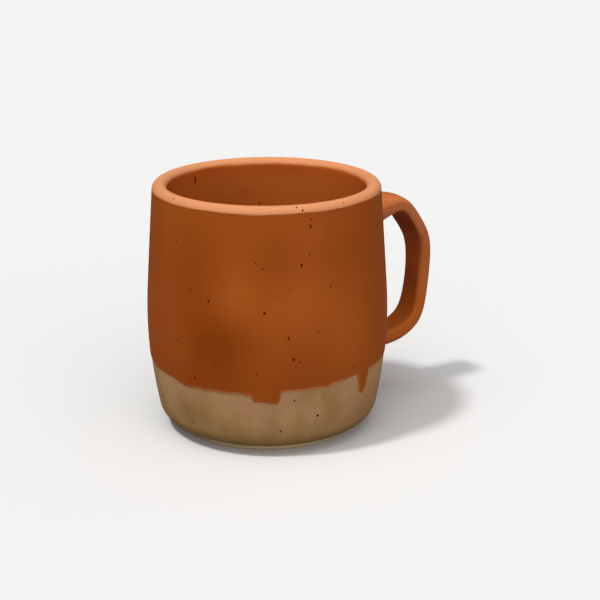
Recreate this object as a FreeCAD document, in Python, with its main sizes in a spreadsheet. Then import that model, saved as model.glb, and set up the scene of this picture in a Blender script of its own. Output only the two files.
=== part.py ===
import FreeCAD, Part
import math
import os
import Sketcher
from FreeCAD import Placement, Rotation, Vector

# One-handled stoneware mug, thrown on the wheel, with a pulled strap handle and a dipped glaze.
# The mug's axis is Z, the table is the plane at height zero, and the handle stands out along +X.

# Driving sizes in millimetres; names ending in deg are degrees and names ending in share are shares
SIZES = {
    # Clay body, seen from the side
    "clay_height": 89.7,
    "belly_radius": 43.45,
    "belly_height": 41.0,
    "belly_arc_radius": 165.0,
    "wall_lean_deg": 4.1,
    "wall_thickness": 4.8,
    "corner_radius": 7.2,
    "inner_corner_radius": 15.0,
    "floor_thickness": 5.6,
    # Trimmed foot ring
    "foot_height": 2.3,
    "foot_setback": 0.4,
    "foot_ring_width": 4.6,
    "foot_recess_depth": 1.8,
    "foot_edge_round": 0.6,
    # Glaze coats
    "glaze_thickness": 0.3,
    "rim_band_start_deg": 10.0,
    "rim_band_end_deg": 160.0,
    "dip_height": 27.9,
    "dip_tilt_deg": 4.3,
    "dip_rise_azimuth_deg": 34.0,
    # Two runs of glaze below the dip line
    "wide_run_width": 10.6,
    "wide_run_length": 3.5,
    "wide_run_azimuth_deg": -124.6,
    "wide_run_round": 1.3,
    "narrow_run_width": 4.0,
    "narrow_run_length": 8.0,
    "narrow_run_azimuth_deg": -72.2,
    "narrow_run_round": 1.7,
    "run_flare_deg": 5.0,
    # Pulled strap handle, measured on its centre line; the drop is counted from the top of the clay
    "handle_reach": 28.0,
    "handle_drop": 14.4,
    "handle_bottom": 21.0,
    "strap_width": 10.0,
    "strap_thickness": 4.95,
    "strap_edge_share": 0.38,
    "strap_corner_share": 0.18,
    "slip_thickness": 0.5,
    # One overrun for every cut
    "overrun": 6.0,
}

# Sizes that follow from the ones above
DERIVED = {
    "arc_centre_inset": "belly_arc_radius - belly_radius",
    "rim_round": "wall_thickness / 2",
    "inner_arc_radius": "belly_arc_radius - wall_thickness",
    "floor_height": "foot_recess_depth + floor_thickness",
    "handle_top": "clay_height - handle_drop",
    "upper_wall_radius": "belly_radius - belly_arc_radius * (1 - cos(wall_lean_deg))"
    " - (handle_top - belly_height - belly_arc_radius * sin(wall_lean_deg)) * tan(wall_lean_deg)",
    "lower_wall_radius": "sqrt(belly_arc_radius ^ 2 - (handle_bottom - belly_height) ^ 2)"
    " - arc_centre_inset",
    "handle_radius": "belly_radius + handle_reach",
    "rim_radius": "(belly_arc_radius - rim_round) * cos(wall_lean_deg) - arc_centre_inset"
    " - (clay_height - rim_round - belly_height"
    " - (belly_arc_radius - rim_round) * sin(wall_lean_deg)) * tan(wall_lean_deg)",
}

# Stations of the strap from its upper root to its lower root.
# The columns are: share of the way from the wall to the furthest reach, share of the rise from the
# bottom to the top, share of the strap's width, share of its thickness.
UPPER_STATION_SHARES = [
    (-0.09, 0.96, 1.60, 2.19),
    (0.11, 0.945, 1.545, 1.72),
    (0.325, 1.00, 1.445, 1.22),
    (0.57, 0.98, 1.28, 0.90),
    (0.795, 0.855, 1.14, 0.89),
    (0.967, 0.68, 1.025, 0.945),
    (1.00, 0.47, 1.00, 1.00),
]
LOWER_STATION_SHARES = [
    (0.95, 0.26, 0.98, 1.045),
    (0.83, 0.10, 1.055, 1.125),
    (0.59, 0.02, 1.11, 1.22),
    (0.235, 0.00, 1.21, 1.34),
    (-0.08, -0.005, 1.315, 1.53),
]

doc = FreeCAD.newDocument("Mug")
sheet = doc.addObject("Spreadsheet::Sheet", "Sizes")
for row, (alias, value) in enumerate(SIZES.items(), start=1):
    sheet.set(f"A{row}", alias)
    sheet.set(f"B{row}", str(value))
    sheet.setAlias(f"B{row}", alias)
for row, (alias, formula) in enumerate(DERIVED.items(), start=len(SIZES) + 2):
    sheet.set(f"A{row}", alias)
    sheet.set(f"B{row}", f"={formula}")
    sheet.setAlias(f"B{row}", alias)
doc.recompute()


def size(alias):
    """The value that a cell of the sheet holds now."""
    return float(sheet.get(alias))


# Helpers for bodies and sketches

# The sketcher's own numbers for the points of an edge and for its two axes
START, END, CENTRE = range(1, 4)
AXIS_X, AXIS_Y = range(-1, -3, -1)
ORIGIN = (AXIS_X, START)
ZERO = Vector(0, 0, 0)
UP = Vector(0, 0, 1)


def polar(centre, radius, degrees):
    """The point at a radius and an angle from a centre, in a sketch's plane."""
    angle = math.radians(degrees)
    return centre + Vector(radius * math.cos(angle), radius * math.sin(angle), 0)


def new_body(label):
    body = doc.addObject("PartDesign::Body", label)
    body.Label = label
    return body


def new_sketch(body, name, role):
    """A sketch attached to one of its own body's origin planes."""
    plane = next(f for f in body.Origin.OriginFeatures if f.Role == role)
    sketch = body.newObject("Sketcher::SketchObject", name)
    sketch.AttachmentSupport = (plane, "")
    sketch.MapMode = "FlatFace"
    sketch.Visibility = False
    return sketch


def add_line(sketch, start, end):
    return sketch.addGeometry(Part.LineSegment(start, end), False)


def add_arc(sketch, centre, radius, first, last):
    """An arc that runs anticlockwise from one angle to another, in degrees."""
    circle = Part.Circle(centre, UP, radius)
    arc = Part.ArcOfCircle(circle, math.radians(first), math.radians(last))
    return sketch.addGeometry(arc, False)


def constrain(sketch, kind, *places):
    sketch.addConstraint(Sketcher.Constraint(kind, *places))


def bind(sketch, kind, places, expression):
    """Adds a dimension to a sketch and ties it to the sheet."""
    value = float(sketch.evalExpression(expression))
    if kind == "Angle":
        value = math.radians(value)
    index = sketch.addConstraint(Sketcher.Constraint(kind, *places, value))
    sketch.setExpression(f"Constraints[{index}]", expression)


def close_outline(sketch, edges, blends=()):
    """Joins each edge's end to the next one's start, smoothly where the pair is in blends."""
    for first, second in zip(edges, edges[1:] + edges[:1]):
        kind = "Tangent" if (first, second) in blends else "Coincident"
        constrain(sketch, kind, first[0], first[-1], second[0], second[1])


def revolve(body, sketch):
    """Turns a side view once round the mug's axis."""
    feature = body.newObject("PartDesign::Revolution", f"{body.Name}_turned")
    feature.Profile = sketch
    feature.ReferenceAxis = (sketch, ["V_Axis"])
    feature.Angle = 360
    return feature


# The wall seen from the side: one long arc through the belly, then a straight lean to the rim

ARC_CENTRE = Vector(-size("arc_centre_inset"), size("belly_height"), 0)
LEAN = size("wall_lean_deg")
WALL_NORMAL = polar(ZERO, 1, LEAN)


def corner_centre(arc_radius, corner_radius, bottom):
    """Centre of a corner arc that touches the wall's arc from inside and a level line below it."""
    height = bottom + corner_radius
    across = math.sqrt((arc_radius - corner_radius) ** 2 - (height - ARC_CENTRE.y) ** 2)
    return Vector(ARC_CENTRE.x + across, height, 0)


def slope_to(centre):
    """Angle in degrees at which the wall's arc meets a corner arc with this centre."""
    return math.degrees(math.atan2(centre.y - ARC_CENTRE.y, centre.x - ARC_CENTRE.x))


RIM = Vector(size("rim_radius"), size("clay_height") - size("rim_round"), 0)
OUTER_CORNER = corner_centre(size("belly_arc_radius"), size("corner_radius"), size("foot_height"))
INNER_CORNER = corner_centre(
    size("inner_arc_radius"), size("inner_corner_radius"), size("floor_height")
)
FOOT_RADIUS = OUTER_CORNER.x - size("foot_setback")
RING_RADIUS = FOOT_RADIUS - size("foot_ring_width")


def pin_wall(sketch, belly, wall, radius):
    """Dimensions that set the wall's arc and its lean."""
    bind(sketch, "DistanceX", (belly, CENTRE, *ORIGIN), "Sizes.arc_centre_inset")
    bind(sketch, "DistanceY", (*ORIGIN, belly, CENTRE), "Sizes.belly_height")
    bind(sketch, "Radius", (belly,), radius)
    bind(sketch, "Angle", (AXIS_Y, START, wall, START), "Sizes.wall_lean_deg")


# Clay body: wall, floor and trimmed foot ring, thrown from one lump of stoneware

def draw_clay(sketch, growth="0"):
    """The whole side view, where all but the foot stands out by the growth, an expression."""
    grown = float(sketch.evalExpression(growth))
    outer_radius = size("belly_arc_radius") + grown
    inner_radius = size("inner_arc_radius") - grown
    turn_radius = size("inner_corner_radius") - grown
    lip_radius = size("rim_round") + grown
    foot_low = Vector(FOOT_RADIUS, 0, 0)
    foot_high = Vector(FOOT_RADIUS, size("foot_height") - grown, 0)
    ring_low = Vector(RING_RADIUS, 0, 0)
    ring_high = Vector(RING_RADIUS, size("foot_recess_depth"), 0)
    recess_centre = Vector(0, size("foot_recess_depth"), 0)
    floor_centre = Vector(0, size("floor_height") + grown, 0)
    floor_edge = Vector(INNER_CORNER.x, floor_centre.y, 0)
    belly_low = slope_to(OUTER_CORNER)
    inner_low = slope_to(INNER_CORNER)
    lip_outer = RIM + WALL_NORMAL * lip_radius
    lip_inner = RIM - WALL_NORMAL * lip_radius

    foot = add_line(sketch, ring_low, foot_low)
    foot_side = add_line(sketch, foot_low, foot_high)
    step = add_line(sketch, foot_high, Vector(OUTER_CORNER.x, foot_high.y, 0))
    corner = add_arc(sketch, OUTER_CORNER, size("corner_radius") + grown, -90, belly_low)
    belly = add_arc(sketch, ARC_CENTRE, outer_radius, belly_low, LEAN)
    wall = add_line(sketch, polar(ARC_CENTRE, outer_radius, LEAN), lip_outer)
    lip = add_arc(sketch, RIM, lip_radius, LEAN, LEAN + 180)
    inner_wall = add_line(sketch, lip_inner, polar(ARC_CENTRE, inner_radius, LEAN))
    inner_belly = add_arc(sketch, ARC_CENTRE, inner_radius, inner_low, LEAN)
    inner_turn = add_arc(sketch, INNER_CORNER, turn_radius, -90, inner_low)
    floor = add_line(sketch, floor_edge, floor_centre)
    axis = add_line(sketch, floor_centre, recess_centre)
    recess = add_line(sketch, recess_centre, ring_high)
    ring_side = add_line(sketch, ring_high, ring_low)

    outline = [(edge, START, END) for edge in (foot, foot_side, step, corner, belly, wall, lip, inner_wall)]
    outline += [(inner_belly, END, START), (inner_turn, END, START)]
    outline += [(edge, START, END) for edge in (floor, axis, recess, ring_side)]
    smooth = outline[2:11]
    close_outline(sketch, outline, list(zip(smooth, smooth[1:])))

    for level in (step, floor, recess):
        constrain(sketch, "Horizontal", level)
    for upright in (foot_side, ring_side):
        constrain(sketch, "Vertical", upright)
    for place in ((foot, START), (foot, END)):
        constrain(sketch, "PointOnObject", *place, AXIS_X)
    for place in ((axis, START), (axis, END)):
        constrain(sketch, "PointOnObject", *place, AXIS_Y)
    constrain(sketch, "Coincident", belly, CENTRE, inner_belly, CENTRE)

    pin_wall(sketch, belly, wall, f"Sizes.belly_arc_radius + {growth}")
    bind(sketch, "Radius", (inner_belly,), f"Sizes.inner_arc_radius - {growth}")
    bind(sketch, "Radius", (corner,), f"Sizes.corner_radius + {growth}")
    bind(sketch, "Radius", (lip,), f"Sizes.rim_round + {growth}")
    bind(sketch, "Radius", (inner_turn,), f"Sizes.inner_corner_radius - {growth}")
    bind(sketch, "DistanceX", (step, START, step, END), "Sizes.foot_setback")
    bind(sketch, "DistanceX", (foot, START, foot, END), "Sizes.foot_ring_width")
    bind(sketch, "DistanceY", (*ORIGIN, step, START), f"Sizes.foot_height - {growth}")
    bind(sketch, "DistanceY", (*ORIGIN, recess, START), "Sizes.foot_recess_depth")
    bind(sketch, "DistanceY", (*ORIGIN, floor, END), f"Sizes.floor_height + {growth}")
    bind(sketch, "DistanceY", (*ORIGIN, lip, CENTRE), "Sizes.clay_height - Sizes.rim_round")


def round_edges(shape, places):
    """Names of the shape's edges that are circles about the mug's axis at these radii and heights."""
    found = []
    for number, edge in enumerate(shape.Edges, start=1):
        if isinstance(edge.Curve, Part.Circle):
            here = Vector(edge.Curve.Radius, edge.Curve.Center.z, 0)
            if min(here.distanceToPoint(Vector(*place, 0)) for place in places) < size("foot_setback") / 10:
                found.append(f"Edge{number}")
    return found


body = new_body("body")
clay_view = new_sketch(body, "clay_side_view", "XZ_Plane")
draw_clay(clay_view)
clay = revolve(body, clay_view)
doc.recompute()
foot_edges = body.newObject("PartDesign::Fillet", "foot_edges")
foot_corners = [(FOOT_RADIUS, 0), (RING_RADIUS, 0), (RING_RADIUS, size("foot_recess_depth"))]
foot_edges.Base = (clay, round_edges(clay.Shape, foot_corners))
foot_edges.setExpression("Radius", "Sizes.foot_edge_round")


# Plain solids of the mug's outside, grown by a coat's thickness, that trim the handle and the coats

def draw_outside(sketch, growth):
    """The wall's outside, moved out by the growth, an expression, and closed along the axis."""
    grown = float(sketch.evalExpression(growth))
    low = slope_to(OUTER_CORNER)
    bottom = Vector(0, size("foot_height") - grown, 0)
    wall_low = polar(ARC_CENTRE, size("belly_arc_radius") + grown, LEAN)
    rise = size("clay_height") - wall_low.y
    wall_high = wall_low + Vector(-rise * math.tan(math.radians(LEAN)), rise, 0)

    base = add_line(sketch, bottom, Vector(OUTER_CORNER.x, bottom.y, 0))
    corner = add_arc(sketch, OUTER_CORNER, size("corner_radius") + grown, -90, low)
    belly = add_arc(sketch, ARC_CENTRE, size("belly_arc_radius") + grown, low, LEAN)
    wall = add_line(sketch, wall_low, wall_high)
    top = add_line(sketch, wall_high, Vector(0, wall_high.y, 0))
    axis = add_line(sketch, Vector(0, wall_high.y, 0), bottom)
    outline = [(edge, START, END) for edge in (base, corner, belly, wall, top, axis)]
    close_outline(sketch, outline, list(zip(outline[:3], outline[1:4])))
    constrain(sketch, "Horizontal", base)
    constrain(sketch, "Horizontal", top)
    for place in ((axis, START), (axis, END)):
        constrain(sketch, "PointOnObject", *place, AXIS_Y)
    pin_wall(sketch, belly, wall, f"Sizes.belly_arc_radius + {growth}")
    bind(sketch, "Radius", (corner,), f"Sizes.corner_radius + {growth}")
    bind(sketch, "DistanceY", (*ORIGIN, corner, CENTRE), "Sizes.foot_height + Sizes.corner_radius")
    bind(sketch, "DistanceY", (*ORIGIN, top, START), "Sizes.clay_height")


def outside_form(label, growth):
    form = new_body(label)
    sketch = new_sketch(form, f"{label}_side_view", "XZ_Plane")
    draw_outside(sketch, growth)
    revolve(form, sketch)
    return form


clay_form = outside_form("clay_form", "0")
glazed_form = outside_form("glazed_form", "Sizes.glaze_thickness")
slip_form = outside_form("slip_form", "Sizes.slip_thickness")
mid_wall_form = outside_form("mid_wall_form", "(-Sizes.rim_round)")


# Strap handle, pulled from one lump of clay: one section, flat inside and domed outside, lofted
# through stations

def draw_section(sketch, width, thickness, edge, corner):
    """A low dome over a flat inner face, given as expressions; the strap's width lies along X.

    The dome runs into a round edge at each side, and each side turns tightly onto the flat face.
    """
    half = float(sketch.evalExpression(width)) / 2
    thick = float(sketch.evalExpression(thickness)) / 2
    edge_radius = float(sketch.evalExpression(edge))
    turn_radius = float(sketch.evalExpression(corner))
    inset = half - edge_radius
    dome_radius = (inset**2 + thick**2 - edge_radius**2) / (2 * (thick - edge_radius))
    slope = math.degrees(math.atan2(dome_radius - thick, inset))
    across = half - turn_radius
    level = turn_radius - thick

    right = add_arc(sketch, Vector(inset, 0, 0), edge_radius, 0, slope)
    dome = add_arc(sketch, Vector(0, thick - dome_radius, 0), dome_radius, slope, 180 - slope)
    left = add_arc(sketch, Vector(-inset, 0, 0), edge_radius, 180 - slope, 180)
    left_side = add_line(sketch, Vector(-half, 0, 0), Vector(-half, level, 0))
    left_turn = add_arc(sketch, Vector(-across, level, 0), turn_radius, 180, 270)
    flat = add_line(sketch, Vector(-across, -thick, 0), Vector(across, -thick, 0))
    right_turn = add_arc(sketch, Vector(across, level, 0), turn_radius, 270, 360)
    right_side = add_line(sketch, Vector(half, level, 0), Vector(half, 0, 0))
    edges = (right, dome, left, left_side, left_turn, flat, right_turn, right_side)
    outline = [(part, START, END) for part in edges]
    close_outline(sketch, outline, list(zip(outline, outline[1:] + outline[:1])))
    constrain(sketch, "Vertical", left_side)
    constrain(sketch, "Vertical", right_side)
    constrain(sketch, "Horizontal", flat)
    constrain(sketch, "PointOnObject", right, CENTRE, AXIS_X)
    constrain(sketch, "PointOnObject", left, CENTRE, AXIS_X)
    bind(sketch, "DistanceX", (*ORIGIN, right, CENTRE), f"({width}) / 2 - ({edge})")
    bind(sketch, "DistanceX", (left, CENTRE, *ORIGIN), f"({width}) / 2 - ({edge})")
    bind(sketch, "DistanceY", (flat, START, *ORIGIN), f"({thickness}) / 2")
    for side in (right, left):
        bind(sketch, "Radius", (side,), edge)
    for side in (right_turn, left_turn):
        bind(sketch, "Radius", (side,), corner)
    bulge = f"(({width}) / 2 - ({edge})) ^ 2 + (({thickness}) / 2) ^ 2 - ({edge}) ^ 2"
    bind(sketch, "Radius", (dome,), f"({bulge}) / (({thickness}) - 2 * ({edge}))")


def station_places():
    """Expressions for each station's distance from the axis and its height."""
    places = []
    for wall, stations in (("upper", UPPER_STATION_SHARES), ("lower", LOWER_STATION_SHARES)):
        start = f"Sizes.{wall}_wall_radius"
        for out, rise, _, _ in stations:
            radius = f"{start} + ({out}) * (Sizes.handle_radius - {start})"
            height = f"Sizes.handle_bottom + {rise} * (Sizes.handle_top - Sizes.handle_bottom)"
            places.append((radius, height))
    return places


def strap(label, growth):
    """A loft along the handle, grown all round by the growth, an expression."""
    form = new_body(label)
    places = station_places()
    shares = UPPER_STATION_SHARES + LOWER_STATION_SHARES
    last = len(places) - 1
    sections = []
    for number, (radius, height) in enumerate(places):
        before = places[max(number - 1, 0)]
        after = places[min(number + 1, last)]
        sketch = new_sketch(form, f"{label}_station_{number}", "YZ_Plane")
        sketch.AttachmentOffset = Placement(ZERO, Rotation(Vector(1, 0, 0), 1))
        sketch.setExpression("AttachmentOffset.Base.y", height)
        sketch.setExpression("AttachmentOffset.Base.z", radius)
        drop = f"{before[1]} - ({after[1]})"
        run = f"{after[0]} - ({before[0]})"
        sketch.setExpression("AttachmentOffset.Rotation.Angle", f"atan2({drop}; {run})")
        width = f"{shares[number][2]} * Sizes.strap_width"
        thickness = f"{shares[number][3]} * Sizes.strap_thickness"
        edge = f"Sizes.strap_edge_share * {thickness} + {growth}"
        corner = f"Sizes.strap_corner_share * {thickness} + {growth}"
        draw_section(
            sketch, f"{width} + 2 * {growth}", f"{thickness} + 2 * {growth}", edge, corner
        )
        sections.append(sketch)
    doc.recompute()
    loft = form.newObject("PartDesign::AdditiveLoft", f"{label}_loft")
    loft.Profile = sections[0]
    loft.Sections = [(section, [""]) for section in sections[1:]]
    return form


bare_strap = strap("bare_strap", "0")
coated_strap = strap("coated_strap", "Sizes.glaze_thickness")
doc.recompute()


# Handle and the slip that lutes its two roots to the wall

def boolean(kind, label, base, tool):
    """A cut or a common of two objects of the document."""
    result = doc.addObject(f"Part::{kind}", label)
    result.Label = label
    result.Base = base
    result.Tool = tool
    return result


handle = boolean("Cut", "handle", bare_strap, slip_form)

slip_layers = boolean(
    "Cut", "slip_layers", boolean("Common", "strap_roots", bare_strap, slip_form), clay_form
)
upper_half = doc.addObject("Part::Box", "upper_half")
upper_half.setExpression("Length", "Sizes.handle_radius")
upper_half.setExpression("Width", "2 * Sizes.strap_width + 2 * Sizes.overrun")
upper_half.setExpression("Height", "Sizes.clay_height")
upper_half.setExpression("Placement.Base.y", "-Sizes.strap_width - Sizes.overrun")
upper_half.setExpression("Placement.Base.z", "(Sizes.handle_top + Sizes.handle_bottom) / 2")
upper_joint_slip = boolean("Common", "upper_joint_slip", slip_layers, upper_half)
lower_joint_slip = boolean("Cut", "lower_joint_slip", slip_layers, upper_half)

bare_coat = boolean("Cut", "strap_coat", coated_strap, bare_strap)
handle_glaze = boolean("Cut", "handle_glaze", bare_coat, glazed_form)


# Glaze coats on the body: one skin of even thickness, parted at the rim's pale band

coated_clay = new_body("coated_clay")
coated_view = new_sketch(coated_clay, "coated_side_view", "XZ_Plane")
draw_clay(coated_view, "Sizes.glaze_thickness")
revolve(coated_clay, coated_view)
coat = boolean("Cut", "coat", coated_clay, body)


def draw_band(sketch):
    """A fan about the rim's centre that reaches past the coat."""
    first = size("rim_band_start_deg")
    last = size("rim_band_end_deg")
    outer = add_line(sketch, RIM, polar(RIM, size("overrun"), first))
    sweep = add_arc(sketch, RIM, size("overrun"), first, last)
    inner = add_line(sketch, polar(RIM, size("overrun"), last), RIM)
    close_outline(sketch, [(edge, START, END) for edge in (outer, sweep, inner)])
    constrain(sketch, "Coincident", outer, START, sweep, CENTRE)
    bind(sketch, "Radius", (sweep,), "Sizes.overrun")
    bind(sketch, "DistanceX", (*ORIGIN, sweep, CENTRE), "Sizes.rim_radius")
    bind(sketch, "DistanceY", (*ORIGIN, sweep, CENTRE), "Sizes.clay_height - Sizes.rim_round")
    bind(sketch, "Angle", (AXIS_X, START, outer, START), "Sizes.rim_band_start_deg")
    bind(sketch, "Angle", (AXIS_X, START, inner, END), "Sizes.rim_band_end_deg")


band = new_body("band")
band_view = new_sketch(band, "band_side_view", "XZ_Plane")
draw_band(band_view)
revolve(band, band_view)
rim_glaze = boolean("Common", "rim_glaze", coat, band)
coat_below_band = boolean("Cut", "coat_below_band", coat, band)
liner_glaze = boolean("Common", "liner_glaze", coat_below_band, mid_wall_form)
outer_coat = boolean("Cut", "outer_coat", coat_below_band, mid_wall_form)


# The dip: all above a tilted level, and two runs that hang below it

def draw_run(sketch, name):
    """A tongue with rounded tips that widens upward through the dip line, which is the X axis."""
    width = size(f"{name}_width")
    turn = size(f"{name}_round")
    flare = size("run_flare_deg")
    bottom = -size(f"{name}_length")
    right_centre = Vector(width / 2 - turn, bottom + turn, 0)
    left_centre = Vector(-right_centre.x, right_centre.y, 0)
    right_low = polar(right_centre, turn, -flare)
    left_low = polar(left_centre, turn, 180 + flare)
    spread = (size("overrun") - right_low.y) * math.tan(math.radians(flare))
    right_high = Vector(right_low.x + spread, size("overrun"), 0)
    left_high = Vector(left_low.x - spread, size("overrun"), 0)

    tip = add_line(sketch, Vector(left_centre.x, bottom, 0), Vector(right_centre.x, bottom, 0))
    right_turn = add_arc(sketch, right_centre, turn, -90, -flare)
    right_side = add_line(sketch, right_low, right_high)
    top = add_line(sketch, right_high, left_high)
    left_side = add_line(sketch, left_low, left_high)
    left_turn = add_arc(sketch, left_centre, turn, 180 + flare, 270)
    outline = [(edge, START, END) for edge in (tip, right_turn, right_side, top)]
    outline += [(left_side, END, START), (left_turn, START, END)]
    blends = [(outline[i], outline[(i + 1) % len(outline)]) for i in (0, 1, 4, 5)]
    close_outline(sketch, outline, blends)
    constrain(sketch, "Horizontal", tip)
    constrain(sketch, "Horizontal", top)
    bind(sketch, "Radius", (right_turn,), f"Sizes.{name}_round")
    bind(sketch, "Radius", (left_turn,), f"Sizes.{name}_round")
    inset = f"Sizes.{name}_width / 2 - Sizes.{name}_round"
    bind(sketch, "DistanceX", (*ORIGIN, right_turn, CENTRE), inset)
    bind(sketch, "DistanceX", (left_turn, CENTRE, *ORIGIN), inset)
    bind(sketch, "DistanceY", (tip, START, *ORIGIN), f"Sizes.{name}_length")
    bind(sketch, "DistanceY", (*ORIGIN, top, START), "Sizes.overrun")
    bind(sketch, "Angle", (AXIS_Y, START, left_side, START), "Sizes.run_flare_deg")
    bind(sketch, "Angle", (right_side, START, AXIS_Y, START), "Sizes.run_flare_deg")


def glaze_run(name):
    run = new_body(name)
    sketch = new_sketch(run, f"{name}_outline", "YZ_Plane")
    draw_run(sketch, name)
    pad = run.newObject("PartDesign::Pad", f"{name}_pad")
    pad.Profile = sketch
    pad.setExpression("Length", "Sizes.belly_radius + Sizes.overrun")
    run.Placement = Placement(ZERO, Rotation(UP, size(f"{name}_azimuth_deg")))
    return run


dipped = doc.addObject("Part::Cylinder", "dipped")
dipped.setExpression("Radius", "Sizes.belly_radius + Sizes.overrun")
dipped.setExpression("Height", "Sizes.clay_height")
dip = doc.addObject("Part::MultiFuse", "dip")
dip.Shapes = [dipped, glaze_run("wide_run"), glaze_run("narrow_run")]
tilt_axis = polar(ZERO, 1, size("dip_rise_azimuth_deg") - 90)
dip.Placement = Placement(ZERO, Rotation(tilt_axis, size("dip_tilt_deg")))
dip.setExpression("Placement.Base.z", "Sizes.dip_height")
outer_glaze = boolean(
    "Cut", "outer_glaze", boolean("Common", "dipped_coat", outer_coat, dip), bare_strap
)


# Check every object, then write one file for each piece

doc.recompute()
for item in doc.Objects:
    if "Invalid" in item.State or "Error" in item.State:
        raise RuntimeError(f"{item.Label} failed: {item.State}")

PIECES = [
    body,
    handle,
    upper_joint_slip,
    lower_joint_slip,
    outer_glaze,
    handle_glaze,
    liner_glaze,
    rim_glaze,
]
os.makedirs("parts", exist_ok=True)
for piece in PIECES:
    shape = piece.Shape
    if shape.isNull() or not shape.isValid() or len(shape.Solids) != 1:
        raise RuntimeError(f"{piece.Label} is not one sound solid")
for piece in PIECES:
    piece.Shape.exportStep(f"parts/{piece.Label}.step")
    print(f"{piece.Label}: {piece.Shape.Volume:.1f} cubic mm")
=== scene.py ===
import math

import bpy
import numpy as np
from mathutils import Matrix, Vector


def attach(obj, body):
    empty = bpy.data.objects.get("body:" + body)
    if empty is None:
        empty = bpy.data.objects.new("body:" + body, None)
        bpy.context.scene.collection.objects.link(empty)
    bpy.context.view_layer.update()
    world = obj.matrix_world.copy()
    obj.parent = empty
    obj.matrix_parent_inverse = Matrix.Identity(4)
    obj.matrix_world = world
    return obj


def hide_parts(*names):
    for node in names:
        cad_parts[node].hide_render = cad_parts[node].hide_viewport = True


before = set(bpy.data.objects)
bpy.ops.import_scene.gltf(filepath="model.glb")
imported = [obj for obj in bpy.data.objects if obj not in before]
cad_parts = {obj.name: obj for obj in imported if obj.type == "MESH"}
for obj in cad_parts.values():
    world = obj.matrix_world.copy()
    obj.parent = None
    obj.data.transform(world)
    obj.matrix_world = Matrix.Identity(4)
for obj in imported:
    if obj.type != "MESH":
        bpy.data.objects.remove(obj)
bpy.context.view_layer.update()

# Clay body. One lump of buff stoneware thrown into a barrel, then turned over and trimmed to a
# small stepped foot. Bare clay shows below the dip line and underneath, with the fine rings that
# the trimming tool leaves in it.

# A millimetre in metres. Sizes are in millimetres, and azimuths are counted from the handle
MM = 0.001
# The wall: the radius of its long arc, the belly that the arc makes, the lean above it, its height
# and its thickness, of which the round lip takes half
BELLY_ARC = 165.0
BELLY_RADIUS = 43.45
BELLY_HEIGHT = 41.0
LEAN = math.radians(4.1)
CLAY_HEIGHT = 89.7
WALL = 4.8
LIP = WALL / 2
# The corners below the wall, outside and inside, and the floor inside
CORNER = 7.2
INNER_CORNER = 15.0
FLOOR_HEIGHT = 7.4
# The foot ring, set in under the corner, and the recess inside it
FOOT_HEIGHT = 2.3
FOOT_SETBACK = 0.4
FOOT_RING_WIDTH = 4.6
FOOT_RECESS = 1.8
FOOT_EDGE = 0.6
# The trimming rings, and how far in from the corner and up the wall the tool went
TRIM_PITCH = 1.7
TRIM_DEPTH = 0.015
TRIM_REACH = 6.0
TRIM_TOP = 24.0
# The side view's points stand close together below this height, where the rings show
CLOSE_HEIGHT = 28.0
CLOSE_STEP = 0.3
# Small steps that keep two runs of the side view from sharing a point, and the floor from the axis
CORNER_STEP = 0.02
AXIS_GAP = 0.4
CLAY_COLUMNS = 300
# Toasted patches of the bare clay: azimuth in degrees, height, width, tallness and strength
TOAST = [
    (-166, 13, 9, 5, 0.6), (-140, 10, 12, 4, 0.35), (-96, 12, 7, 4, 0.25), (-72, 12, 8, 6, 0.3),
    (-40, 14, 14, 6, 0.4), (5, 10, 16, 6, 0.5), (60, 15, 15, 5, 0.35), (120, 12, 16, 6, 0.5),
    (-158, 19, 12, 8, 0.3),
]
QUARTER_TURN = math.pi / 2
SHARP_ANGLE = math.radians(50)

ARC_CENTRE = np.array([BELLY_RADIUS - BELLY_ARC, BELLY_HEIGHT])
TURN_HEIGHT = BELLY_HEIGHT + BELLY_ARC * math.sin(LEAN)
TURN_RADIUS = ARC_CENTRE[0] + BELLY_ARC * math.cos(LEAN)
LIP_HEIGHT = CLAY_HEIGHT - LIP
LIP_RADIUS = (
    TURN_RADIUS
    - LIP / math.cos(LEAN)
    - (LIP_HEIGHT - TURN_HEIGHT) * math.tan(LEAN)
)
LIP_CENTRE = np.array([LIP_RADIUS, LIP_HEIGHT])


def corner_centre(arc_radius, corner, bottom):
    """Centre of a corner that touches the wall's arc from inside and a level line below it."""
    rise = bottom + corner - BELLY_HEIGHT
    across = math.sqrt((arc_radius - corner) ** 2 - rise**2)
    return ARC_CENTRE + np.array([across, rise])


def slope_to(centre):
    """Angle of the line from the wall's arc centre to a point: arctangent of rise over run."""
    return math.atan2(*(centre - ARC_CENTRE)[::-1])


def arc(centre, radius, first, last, count):
    """Points of an arc and their outward directions: centre plus radius times (cos, sin)."""
    angle = np.linspace(first, last, count)
    way = np.stack([np.cos(angle), np.sin(angle)], axis=1)
    return centre + radius * way, way


def straight(start, end, way, count):
    """Evenly spaced points from start to end, ends left out, all with one outward direction."""
    share = np.linspace(0, 1, count + 2)[1:-1, None]
    return start + share * (end - start), np.repeat([way], count, axis=0)


def joined(*runs):
    """Several runs of points and outward directions as one, end to end."""
    return tuple(np.concatenate(part) for part in zip(*runs))


OUTER_TURN = corner_centre(BELLY_ARC, CORNER, FOOT_HEIGHT)
INNER_TURN = corner_centre(BELLY_ARC - WALL, INNER_CORNER, FLOOR_HEIGHT)
LEAN_WAY = np.array([math.cos(LEAN), math.sin(LEAN)])


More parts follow.
